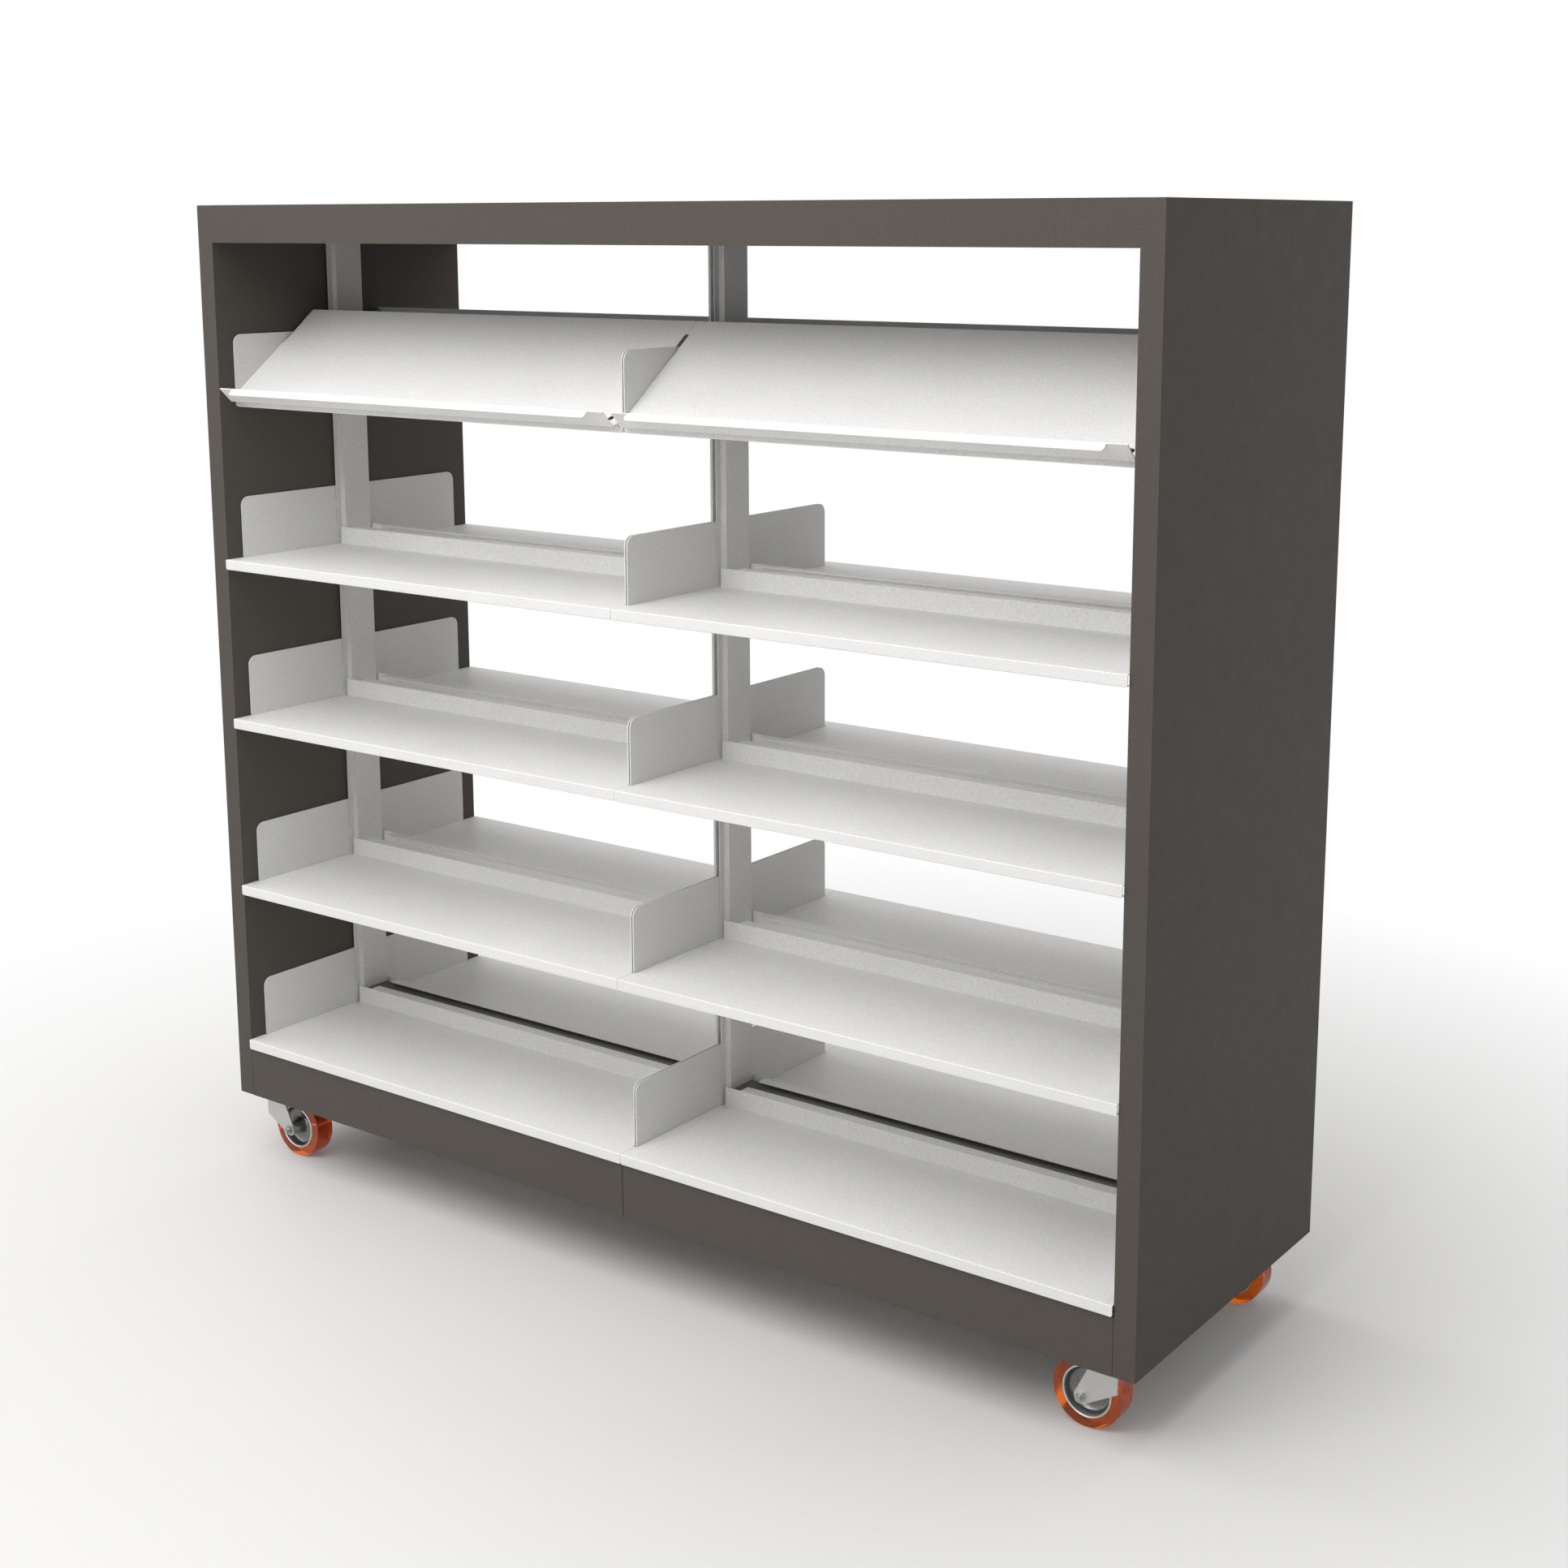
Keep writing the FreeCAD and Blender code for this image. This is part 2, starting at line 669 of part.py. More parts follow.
def display_panel(label, bay, turn):
    """A sloped plate with a lip that stops the magazines and a rolled rim.

    Local frame: Y runs up the slope from the fold of the lip, Z is square to
    the plate. Its sides are notched round the bracket tops, and its wings above
    them reach the next panel's, but stop short of the end panel. Two cheeks
    under it stand on the tray.
    """
    body = new_body(label)
    gauge = "shelf_sheet"
    run = "(case_depth / 2 - display_foot - %s - display_post_gap)" % NOSE_TIP
    top = "(%s / cos(display_slope))" % run
    over_bracket = "(bracket_rise + display_sink) / sin(display_slope)"
    relief_start = "(%s - relief_fore)" % over_bracket
    relief_end = "(%s + relief_aft)" % over_bracket
    rim_front = "(-lip_lean - rim_out)"
    profile = new_sketch(body, "YZ_Plane")
    outline(profile, [
        (top, "0"), ("0", "0"), ("-lip_lean", "lip_rise"), (rim_front, "lip_rise - rim_dip"),
        (rim_front, "lip_rise - rim_dip - " + gauge),
        ("-lip_lean - " + gauge, "lip_rise - lip_fold - " + gauge),
        ("-" + gauge, "-" + gauge), (top, "-" + gauge),
    ])
    plate = pad(body, profile, "bay_pitch - 2 * shelf_end_gap", midplane=True)
    clear = "(bay_pitch / 2 + overcut)"
    lip = "(bay_pitch / 2 - lip_end)"
    rim = "(bay_pitch / 2 - rim_end)"
    low = "(%s - overcut)" % rim_front
    heel = "(-lip_lean - %s - lip_fold)" % gauge
    panel_side = 1 if (bay > 0) == (turn == 0.0) else -1
    for hand in (1, -1):
        sign = "" if hand > 0 else "-"
        outer = hand == panel_side
        wing = "(bay_pitch / 2 - %s)" % ("wing_outer_gap" if outer else "shelf_end_gap")
        relief = "(%s - %s)" % (BETWEEN_BRACKETS, "relief_outer" if outer else "relief_inner")
        plan = new_sketch(body, "XY_Plane")
        outline(plan, [(sign + x, y) for x, y in [
            (clear, low), (rim, low), (rim, heel), (lip, heel), (lip, "0"),
            (BETWEEN_BRACKETS, "plate_heel"), (BETWEEN_BRACKETS, relief_start),
            (relief, relief_start), (relief, relief_end), (wing, relief_end),
            (wing, top + " + overcut"), (clear, top + " + overcut"),
        ]])
        plate = pocket(body, plan)
    rim_x = S["bay_pitch"] / 2 - S["rim_end"]
    rim_y = -S["lip_lean"] - S["rim_out"]
    plate = fillet(body, plate, Z_AXIS, [V(rim_x, rim_y, 0), V(-rim_x, rim_y, 0)], "rim_round")
    holes = new_sketch(body, "XY_Plane")
    for sign in ("", "-"):
        circle(holes, sign + "(bay_pitch / 2 - pin_hole_end)", "pin_hole_up", "pin_hole")
    pocket(body, holes)
    deck_x = "(%s) * cos(display_slope) + display_sink * sin(display_slope)"
    deck_y = "display_sink * cos(display_slope) - (%s) * sin(display_slope)"
    for hand in (1, -1):
        level = "(%s - %s)" % (BETWEEN_BRACKETS, gauge) if hand > 0 else "-" + BETWEEN_BRACKETS
        cheek = new_sketch(body, "YZ_Plane", level)
        outline(cheek, [
            (deck_x % "cheek_front", deck_y % "cheek_front"),
            (deck_x % "cheek_rear", deck_y % "cheek_rear"),
            ("cheek_rear / cos(display_slope)", "-shelf_sheet / 2"),
            ("cheek_front / cos(display_slope)", "-shelf_sheet / 2"),
        ])
        pad(body, cheek, gauge)
    tilt = FreeCAD.Rotation(X_AXIS, S["display_slope"])
    body.Placement = FreeCAD.Placement(V(), FreeCAD.Rotation(Z_AXIS, turn).multiply(tilt))
    sign = "-" if turn == 0.0 else ""
    place(body, "%g * bay_pitch" % bay, sign + "(case_depth / 2 - display_foot)",
          "%s + %s - display_sink" % (CASE_LIFT, HIGH_DECK))
    nodes.append(body)


# ---------------------------------------------------------------- base frame

def cross_members():
    """Three tubes across the base: over the casters and under the middle post."""
    pieces = []
    length = "case_depth - 2 * board_thick"
    spots = (("left", "-bay_pitch"), ("middle", "-%s / 2" % CROSS_WIDTH),
             ("right", "bay_pitch - " + CROSS_WIDTH))
    for name, x in spots:
        body = doc.addObject("PartDesign::Body", "cross_" + name)
        sketch = new_sketch(body, "XZ_Plane")
        rectangle(sketch, "0", CROSS_WIDTH, "0", "cross_height")
        rectangle(sketch, "cross_wall", CROSS_WIDTH + " - cross_wall", "cross_wall",
                  "cross_height - cross_wall")
        pad(body, sketch, length, midplane=True)
        if name != "middle":
            bores = new_sketch(body, "XY_Plane")
            plate_holes(bores, CROSS_WIDTH + " / 2", CASTER_Y)
            plate_holes(bores, CROSS_WIDTH + " / 2", "-" + CASTER_Y)
            drill = body.newObject("PartDesign::Pocket", body.Name + "_bores")
            drill.Profile = bores
            drill.Reversed = True
            bind(drill, Length="2 * cross_wall")
        place(body, x, "0", CASTER_HEIGHT)
        pieces.append(body)
    nodes.append(group("base_cross_members", pieces))


def spine_beams():
    """Two dark box beams between the feet of the posts."""
    pieces = []
    for name, sign in (("left", -1), ("right", 1)):
        body = doc.addObject("PartDesign::Body", "spine_" + name)
        sketch = new_sketch(body, "YZ_Plane")
        low = "spine_foot"
        high = "spine_foot + spine_height"
        rectangle(sketch, "-spine_width / 2", "spine_width / 2", low, high)
        rectangle(sketch, "-spine_width / 2 + cross_wall", "spine_width / 2 - cross_wall",
                  low + " + cross_wall", high + " - cross_wall")
        pad(body, sketch, "bay_pitch - post_width", midplane=True)
        place(body, "%g * bay_pitch" % (0.5 * sign), "0", CASE_LIFT)
        pieces.append(body)
    nodes.append(group("spine_beams", pieces))


# ---------------------------------------------------------------- casters

CORNERS = (("front_left", -1, -1), ("front_right", 1, -1), ("rear_left", -1, 1),
           ("rear_right", 1, 1))
AXLE_Z = "wheel_dia / 2"
HOLE_X = "(swivel_plate_wide / 2 - plate_hole_edge)"
HOLE_Y = "(swivel_plate_long / 2 - plate_hole_edge)"


def signed(sign, text):
    return text if sign > 0 else "-" + text


def plate_holes(sketch, x, y):
    for dx in ("+", "-"):
        for dy in ("+", "-"):
            circle(sketch, "%s %s %s" % (x, dx, HOLE_X), "%s %s %s" % (y, dy, HOLE_Y),
                   "plate_bolt_dia + bolt_hole_clear")


def swivel_plates():
    """The four top plates, each with its upper bearing race and king pin."""
    pieces = []
    for name, sx, sy in CORNERS:
        body = doc.addObject("PartDesign::Body", "swivel_plate_" + name)
        sketch = new_sketch(body, "XY_Plane", "-swivel_plate_thick")
        rectangle(sketch, "-swivel_plate_wide / 2", "swivel_plate_wide / 2",
                  "-swivel_plate_long / 2", "swivel_plate_long / 2")
        plate_holes(sketch, "0", "0")
        top = pad(body, sketch, "swivel_plate_thick")
        wide = S["swivel_plate_wide"] / 2
        deep = S["swivel_plate_long"] / 2
        corners = [V(a * wide, b * deep, 0) for a in (1, -1) for b in (1, -1)]
        fillet(body, top, Z_AXIS, corners, "swivel_plate_round")
        turned = new_sketch(body, "XZ_Plane")
        race_low = "-swivel_plate_thick - upper_race_high"
        pin_low = "(%s - crown_thick - %s - race_gap)" % (CROWN_TOP, CASTER_HEIGHT)
        head = "(king_pin_dia / 2 + king_head_lip)"
        outline(turned, [
            ("0", "-swivel_plate_thick / 2"), ("upper_race_dia / 2", "-swivel_plate_thick / 2"),
            ("upper_race_dia / 2", race_low), ("king_pin_dia / 2", race_low),
            ("king_pin_dia / 2", pin_low), (head, pin_low),
            (head, pin_low + " - king_head_high"), ("0", pin_low + " - king_head_high"),
        ])
        revolve(body, turned, "V_Axis")
        place(body, signed(sx, CASTER_X), signed(sy, CASTER_Y), CASTER_HEIGHT)
        pieces.append(body)
    nodes.append(group("swivel_plates", pieces))


def plate_bolts():
    """Sixteen hexagon bolts that hold the swivel plates to the cross members."""
    pieces = []
    for name, sx, sy in CORNERS:
        for ax in ("+", "-"):
            for ay in ("+", "-"):
                body = doc.addObject("PartDesign::Body", "plate_bolt_%s_%d" % (name, len(pieces)))
                head = new_sketch(body, "XY_Plane")
                hexagon(head, "0", "0", "bolt_head_flat")
                pad(body, head, "bolt_head_high", back=True)
                shank = new_sketch(body, "XY_Plane", "-bolt_head_high / 2")
                circle(shank, "0", "0", "plate_bolt_dia")
                pad(body, shank, "bolt_reach + bolt_head_high / 2")
                place(body, "%s %s %s" % (signed(sx, CASTER_X), ax, HOLE_X),
                      "%s %s %s" % (signed(sy, CASTER_Y), ay, HOLE_Y),
                      CASTER_HEIGHT + " - swivel_plate_thick")
                pieces.append(body)
    nodes.append(group("caster_bolts", pieces))


def fork(label, sx, sy):
    """A pressed fork: crown, two legs, axle bosses and the lower race.

    Local origin: the swivel axis on the floor; the wheel trails to +X.
    """
    body = new_body(label)
    outer = "(wheel_width + 2 * leg_gap + 2 * leg_thick)"
    crown = new_sketch(body, "XY_Plane", CROWN_TOP + " - crown_thick")
    rectangle(crown, "-crown_front", "crown_rear", "-%s / 2" % outer, "%s / 2" % outer)
    pad(body, crown, "crown_thick")
    for sign in (1, -1):
        face = "(wheel_width / 2 + leg_gap)"
        level = face if sign < 0 else "-(%s + leg_thick)" % face
        legs = new_sketch(body, "XZ_Plane", level)
        outline(legs, [
            ("-crown_front", CROWN_TOP), ("leg_rear", CROWN_TOP),
            ("swivel_offset + boss_dia / 2 * cos(leg_rear_turn)",
             AXLE_Z + " + boss_dia / 2 * sin(leg_rear_turn)"),
            ("swivel_offset", AXLE_Z),
            ("swivel_offset - boss_dia / 2 * cos(leg_front_turn)",
             AXLE_Z + " - boss_dia / 2 * sin(leg_front_turn)"),
            ("-crown_front", CROWN_TOP + " - leg_front"),
        ])
        pad(body, legs, "leg_thick")
        eye = new_sketch(body, "XZ_Plane", level)
        circle(eye, "swivel_offset", AXLE_Z, "boss_dia")
        pad(body, eye, "leg_thick")
    race = new_sketch(body, "XZ_Plane")
    low = CROWN_TOP + " - crown_thick / 2"
    outline(race, [
        ("0", low), ("lower_race_dia / 2", low),
        ("lower_race_dia / 2", RACE_TOP + " - race_bevel"),
        ("lower_race_dia / 2 - race_bevel", RACE_TOP), ("0", RACE_TOP),
    ])
    revolve(body, race, "V_Axis")
    bore = new_sketch(body, "XY_Plane")
    circle(bore, "0", "0", "king_pin_dia + 2 * running_clear")
    pocket(body, bore)
    pin = new_sketch(body, "XZ_Plane")
    circle(pin, "swivel_offset", AXLE_Z, "axle_dia + axle_clear")
    pocket(body, pin)
    place(body, signed(sx, CASTER_X), signed(sy, CASTER_Y), "0",
          Z_AXIS if sx > 0 else None, 180.0)
    nodes.append(body)


def axle(label, sx, sy):
    """The axle bolt with its hexagon head, and the nut on the other leg."""
    half = "(wheel_width / 2 + leg_gap + leg_thick)"
    bolt = doc.addObject("PartDesign::Body", label + "_bolt")
    head = new_sketch(bolt, "XZ_Plane", half)
    hexagon(head, "0", "0", "axle_head_flat")
    pad(bolt, head, "axle_head_high")
    shank = new_sketch(bolt, "XZ_Plane", "-%s - axle_head_high - axle_end" % half)
    circle(shank, "0", "0", "axle_dia")
    pad(bolt, shank, "2 * %s + axle_head_high * 3 / 2 + axle_end" % half)
    nut = doc.addObject("PartDesign::Body", label + "_nut")
    ring = new_sketch(nut, "XZ_Plane", "-%s - axle_head_high" % half)
    hexagon(ring, "0", "0", "axle_head_flat")
    circle(ring, "0", "0", "axle_dia")
    pad(nut, ring, "axle_head_high")
    pair = group(label, [bolt, nut])
    place(pair, "%s %s swivel_offset" % (signed(sx, CASTER_X), "-" if sx > 0 else "+"),
          signed(sy, CASTER_Y), AXLE_Z, Z_AXIS if sy < 0 else None, 180.0)
    nodes.append(pair)


def wheel(name, sx, sy):
    """A wheel: a dished hub and a solid tyre moulded on it."""
    spot = ("%s %s swivel_offset" % (signed(sx, CASTER_X), "-" if sx > 0 else "+"),
            signed(sy, CASTER_Y), AXLE_Z)
    hub = new_body("hub_" + name)
    half = "wheel_width / 2"
    boss = "(wheel_width / 2 + leg_gap - hub_side_gap)"
    rim = "hub_dia / 2"
    bore = "(axle_dia / 2 + running_clear)"
    lip = half + " + hub_proud"
    section = new_sketch(hub, "XY_Plane")
    quarter = [(bore, boss), ("hub_boss_dia / 2", boss),
               ("hub_boss_dia / 2 + hub_boss_flare", "hub_web / 2"),
               ("%s - hub_rim - hub_taper" % rim, "hub_web / 2"),
               ("%s - hub_rim" % rim, lip), (rim, lip)]
    lower = [(x, "-(%s)" % y) for x, y in reversed(quarter)]
    outline(section, quarter + lower)
    revolve(hub, section, "V_Axis")
    place(hub, *spot)
    nodes.append(hub)

    tyre = new_body("tyre_" + name)
    ring = new_sketch(tyre, "XY_Plane")
    rectangle(ring, rim, "wheel_dia / 2", "-" + half, half)
    cast = revolve(tyre, ring, "V_Axis")
    doc.recompute()
    round_off(tyre, cast, ring_edges(cast.Shape, S["wheel_dia"] / 2), "tyre_shoulder")
    place(tyre, *spot)
    nodes.append(tyre)


# ---------------------------------------------------------------- build

end_panel("end_panel_left", -1)
end_panel("end_panel_right", 1)
canopy()
for side_name, side_turn in SIDES:
    for bay_name, bay_place in BAYS:
        plinth("plinth_%s_%s" % (side_name, bay_name), bay_place, side_turn == 0.0)
post("post_left", "-bay_pitch", "right")
post("post_middle", "0", "both")
post("post_right", "bay_pitch", "left")
cross_members()
spine_beams()
for tier_number, deck_height in enumerate(TIERS, start=1):
    tier_brackets(tier_number, deck_height)
    for side_name, side_turn in SIDES:
        for bay_name, bay_place in BAYS:
            is_display = tier_number == len(TIERS)
            kind = "display_tray" if is_display else "shelf_tier_%d" % tier_number
            shelf("%s_%s_%s" % (kind, side_name, bay_name), bay_place, deck_height, side_turn,
                  not is_display)
for side_name, side_turn in SIDES:
    for bay_name, bay_place in BAYS:
        display_panel("display_panel_%s_%s" % (side_name, bay_name), bay_place, side_turn)
swivel_plates()
plate_bolts()
for corner_name, x_sign, y_sign in CORNERS:
    fork("fork_" + corner_name, x_sign, y_sign)
    axle("axle_" + corner_name, x_sign, y_sign)
    wheel(corner_name, x_sign, y_sign)

doc.recompute()

# ---------------------------------------------------------------- check and write

for obj in doc.Objects:
    if "Invalid" in obj.State or "Error" in obj.State:
        raise RuntimeError("%s failed: %s" % (obj.Label, obj.State))
for node in nodes:
    if node.Shape.isNull() or not node.Shape.isValid():
        raise RuntimeError("bad shape: " + node.Label)

os.makedirs("parts", exist_ok=True)
for node in nodes:
    node.Shape.exportStep("parts/%s.step" % node.Label)
print("%d nodes, %d solids" % (len(nodes), sum(len(node.Shape.Solids) for node in nodes)))
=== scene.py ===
import math

import bmesh
import bpy
from mathutils import Matrix, Vector


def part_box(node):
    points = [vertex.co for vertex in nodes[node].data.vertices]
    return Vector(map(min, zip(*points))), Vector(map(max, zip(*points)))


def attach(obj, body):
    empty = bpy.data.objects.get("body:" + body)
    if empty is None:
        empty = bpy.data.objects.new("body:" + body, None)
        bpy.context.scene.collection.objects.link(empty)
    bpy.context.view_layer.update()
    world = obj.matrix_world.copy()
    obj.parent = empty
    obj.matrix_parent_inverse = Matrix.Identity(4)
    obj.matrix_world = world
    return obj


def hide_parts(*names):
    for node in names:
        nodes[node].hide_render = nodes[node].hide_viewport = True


# Looks, lights and camera for the mobile periodical rack. Metres; the front looks to -Y.

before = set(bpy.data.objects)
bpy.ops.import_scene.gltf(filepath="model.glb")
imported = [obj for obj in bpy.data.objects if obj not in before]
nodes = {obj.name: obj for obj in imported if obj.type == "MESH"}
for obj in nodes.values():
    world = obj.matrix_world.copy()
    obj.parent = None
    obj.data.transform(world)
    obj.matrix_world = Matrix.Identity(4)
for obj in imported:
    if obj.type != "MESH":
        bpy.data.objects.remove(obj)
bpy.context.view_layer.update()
scene = bpy.context.scene
CORNERS = ("front_left", "front_right", "rear_left", "rear_right")
WHITE = (1.0, 1.0, 1.0, 1.0)


# ---------------------------------------------------------------- node helpers

def new_material(name):
    material = bpy.data.materials.new(name)
    material.use_nodes = True
    tree = material.node_tree
    tree.nodes.clear()
    output = tree.nodes.new("ShaderNodeOutputMaterial")
    return material, tree, output


def put(tree, socket, value):
    """Links an input to another node's socket, or sets it to a plain value."""
    if isinstance(value, bpy.types.NodeSocket):
        tree.links.new(value, socket)
    else:
        socket.default_value = value


def add(tree, kind, **inputs):
    """A node with some of its inputs set to values or linked to sockets."""
    node = tree.nodes.new(kind)
    for name, value in inputs.items():
        put(tree, node.inputs[name.replace("_", " ")], value)
    return node


def maths(tree, operation, a, b=0.0):
    node = tree.nodes.new("ShaderNodeMath")
    node.operation = operation
    for socket, value in zip(node.inputs, (a, b)):
        put(tree, socket, value)
    return node.outputs[0]


def length(tree, vector):
    node = tree.nodes.new("ShaderNodeVectorMath")
    node.operation = "LENGTH"
    tree.links.new(vector, node.inputs[0])
    return node.outputs["Value"]


def weighted(tree, first, first_share, second, second_share):
    """Two factors added up, each by its share."""
    return maths(tree, "ADD", maths(tree, "MULTIPLY", first, first_share),
                 maths(tree, "MULTIPLY", second, second_share))


def ramp(tree, factor, low, high, start=0.0, end=1.0):
    """A value or colour that runs from low to high over part of a factor."""
    node = tree.nodes.new("ShaderNodeValToRGB")
    tree.links.new(factor, node.inputs[0])
    first, last = node.color_ramp.elements
    first.position, last.position = start, end
    for element, value in ((first, low), (last, high)):
        rgb = value if hasattr(value, "__len__") else (value,) * 3
        element.color = (*rgb, 1.0)
    return node.outputs[0]


def noise(tree, where, scale, detail=3.0, rough=0.5):
    node = add(tree, "ShaderNodeTexNoise", Vector=where, Scale=scale, Detail=detail,
               Roughness=rough)
    return node.outputs[0]


def bump(tree, height, strength, distance, normal=None):
    node = add(tree, "ShaderNodeBump", Height=height, Strength=strength, Distance=distance)
    if normal is not None:
        tree.links.new(normal, node.inputs["Normal"])
    return node.outputs[0]


def shader(tree, output, **inputs):
    node = add(tree, "ShaderNodeBsdfPrincipled", **inputs)
    tree.links.new(node.outputs[0], output.inputs[0])


def position(tree):
    return tree.nodes.new("ShaderNodeTexCoord").outputs["Object"]


def seen_directly(tree):
    """1 on the rays that show a surface to the camera, in metal or through glass, or else 0."""
    light = tree.nodes.new("ShaderNodeLightPath")
    seen = maths(tree, "MAXIMUM", light.outputs["Is Camera Ray"], light.outputs["Is Glossy Ray"])
    return maths(tree, "MAXIMUM", seen, light.outputs["Is Transmission Ray"])


def shade(colour, factor):
    """A colour made darker or lighter."""
    return tuple(min(1.0, value * factor) for value in colour)


# ---------------------------------------------------------------- materials

def lacquer(name, colour):
    """Satin lacquer sprayed on board: soft mottling, fine orange peel, dust nibs."""
    material, tree, output = new_material(name)
    where = position(tree)
    cloud = noise(tree, where, scale=3.0, detail=2.0)
    grain = noise(tree, where, scale=480.0, rough=0.6)
    tone = weighted(tree, cloud, 0.08, grain, 0.92)
    base = ramp(tree, tone, shade(colour, 0.80), shade(colour, 1.20), start=0.32, end=0.68)
    rough = ramp(tree, noise(tree, where, scale=40.0), 0.54, 0.60, start=0.3, end=0.7)
    peel = bump(tree, noise(tree, where, scale=260.0, detail=2.0), strength=0.06, distance=0.0006)
    nibs = bump(tree, noise(tree, where, scale=1500.0, detail=1.0), strength=0.10,
                distance=0.0003, normal=peel)
    shader(tree, output, Base_Color=base, Roughness=rough, Normal=nibs, Specular_IOR_Level=0.14)
    return material


def powder(name, colour):
    """Textured powder coat on folded sheet: pimpled skin, faint speckle, uneven gloss."""
    material, tree, output = new_material(name)
    where = position(tree)
    speckle = noise(tree, where, scale=520.0, rough=0.6)
    cloud = noise(tree, where, scale=5.0, detail=2.0)
    tone = weighted(tree, speckle, 0.9, cloud, 0.1)
    base = ramp(tree, tone, shade(colour, 0.86), shade(colour, 1.11), start=0.34, end=0.66)
    rough = ramp(tree, noise(tree, where, scale=60.0), 0.42, 0.55, start=0.3, end=0.7)
    skin = bump(tree, speckle, strength=0.20, distance=0.0004)
    wave = bump(tree, noise(tree, where, scale=9.0, detail=1.0), strength=0.05, distance=0.002,
                normal=skin)
    shader(tree, output, Base_Color=base, Roughness=rough, Normal=wave)
    return material


def zinc(name, colour, rough_low=0.34, rough_high=0.52):
    """Bright zinc plate on pressed steel: small crystals, rolling lines, matt patches."""
    material, tree, output = new_material(name)
    where = position(tree)
    cells = add(tree, "ShaderNodeTexVoronoi", Vector=where, Scale=900.0)
    crystal = ramp(tree, cells.outputs["Color"], 0.0, 1.0)
    haze = noise(tree, where, scale=600.0, detail=4.0, rough=0.6)
    tone = weighted(tree, crystal, 0.15, haze, 0.85)
    base = ramp(tree, tone, shade(colour, 0.84), shade(colour, 1.12), start=0.28, end=0.72)
    rough = ramp(tree, haze, rough_low, rough_high, start=0.3, end=0.7)
    lines = add(tree, "ShaderNodeMapping", Vector=where, Scale=(1.0, 1.0, 14.0))
    skin = bump(tree, noise(tree, lines.outputs[0], scale=260.0, detail=2.0), strength=0.12,
                distance=0.0003)
    shader(tree, output, Base_Color=base, Roughness=rough, Metallic=0.9, Normal=skin)
    return material


# Inside these radii the hub's colour is darker: partly the less glossy cast finish, partly
# painted shade in the deep dish.
DISH_END, RIM_START = 0.0402, 0.0406    # radii between which the cast dish meets the turned rim
TOOL_MARKS = 9000.0                     # radians for each metre of radius: a mark every 0.7 mm


def alloy(name, colour, centre):
    """Turned cast alloy: concentric tool marks round the axle, grainy casting in the dish. The
    dish is painted darker than the rim: partly its less glossy cast finish, partly painted shade
    in the deep recess.
    """
    material, tree, output = new_material(name)
    where = position(tree)
    across = add(tree, "ShaderNodeMapping", Vector=where, Location=(-centre.x, 0.0, -centre.z),
                 Scale=(1.0, 0.0, 1.0))
    radius = length(tree, across.outputs[0])
    marks = maths(tree, "SINE", maths(tree, "MULTIPLY", radius, TOOL_MARKS))
    rim = ramp(tree, radius, 0.0, 1.0, start=DISH_END, end=RIM_START)
    cast = noise(tree, where, scale=500.0, detail=4.0, rough=0.6)
    grain = maths(tree, "ADD", maths(tree, "MULTIPLY", marks, maths(tree, "MULTIPLY", rim, 0.4)),
                  cast)
    # Painted shade: the dish's colour sits well below the rim's, partly for its cast finish,
    # partly for the shade in the deep dish.
    dull_and_shaded_dish = ramp(tree, cast, shade(colour, 0.24), shade(colour, 0.44), start=0.3, end=0.7)
    bright = ramp(tree, cast, shade(colour, 0.95), shade(colour, 1.25), start=0.3, end=0.7)
    mix = tree.nodes.new("ShaderNodeMix")
    mix.data_type = "RGBA"
    tree.links.new(rim, mix.inputs["Factor"])
    tree.links.new(dull_and_shaded_dish, mix.inputs[6])      # colour A
    tree.links.new(bright, mix.inputs[7])    # colour B
    rough = ramp(tree, rim, 0.26, 0.34)
    skin = bump(tree, grain, strength=0.15, distance=0.0003)
    shader(tree, output, Base_Color=mix.outputs[2], Roughness=rough, Metallic=0.85, Normal=skin)
    return material


def urethane(name, deep, clear):
    """Cast translucent urethane: cloudy depth, uneven gloss, lightly scuffed skin."""
    material, tree, output = new_material(name)
    where = position(tree)
    cloud = noise(tree, where, scale=60.0, rough=0.6)
    base = ramp(tree, cloud, deep, clear, start=0.30, end=0.72)
    rough = ramp(tree, noise(tree, where, scale=220.0), 0.05, 0.14, start=0.3, end=0.7)
    skin = bump(tree, noise(tree, where, scale=380.0, detail=2.0), strength=0.06, distance=0.0003)
    shader(tree, output, Base_Color=base, Roughness=rough, Normal=skin,
           Transmission_Weight=0.85, IOR=1.48, Specular_IOR_Level=0.25)
    return material


CASE = lacquer("case_lacquer", (0.0885, 0.0785, 0.0685))
SHELF = powder("shelf_powder_coat", (0.800, 0.796, 0.784))
BRACKET = powder("bracket_powder_coat", (0.77, 0.766, 0.753))
POST = powder("post_powder_coat", (0.735, 0.730, 0.716))
BASE = powder("base_powder_coat", (0.10, 0.092, 0.084))
ZINC = zinc("zinc_plate", (0.56, 0.56, 0.545))
BOLT = zinc("bright_bolt", (0.42, 0.42, 0.41), rough_low=0.12, rough_high=0.22)
TYRE = urethane("amber_urethane", (0.84, 0.140, 0.008), (0.95, 0.20, 0.012))

# The starts of node names, and the material that those nodes get.
MATERIALS = (
    (("end_panel", "canopy", "plinth"), CASE),
    (("shelf", "display_tray", "display_panel"), SHELF),
    (("brackets",), BRACKET),
    (("post",), POST),
    (("spine", "base_cross"), BASE),
    (("swivel", "fork"), ZINC),
    (("caster_bolts", "axle"), BOLT),
    (("tyre",), TYRE),
)

# The starts of node names, and the width of the small edge that those nodes get.
EDGES = (
    (("end_panel", "canopy", "plinth", "fork"), 0.0006),
    (("brackets", "axle", "caster_bolts"), 0.0004),
)
SHARP_EDGE = math.radians(40)    # flatter edges than this get no bevel


def paint(obj, material):
    obj.data.materials.clear()
    obj.data.materials.append(material)


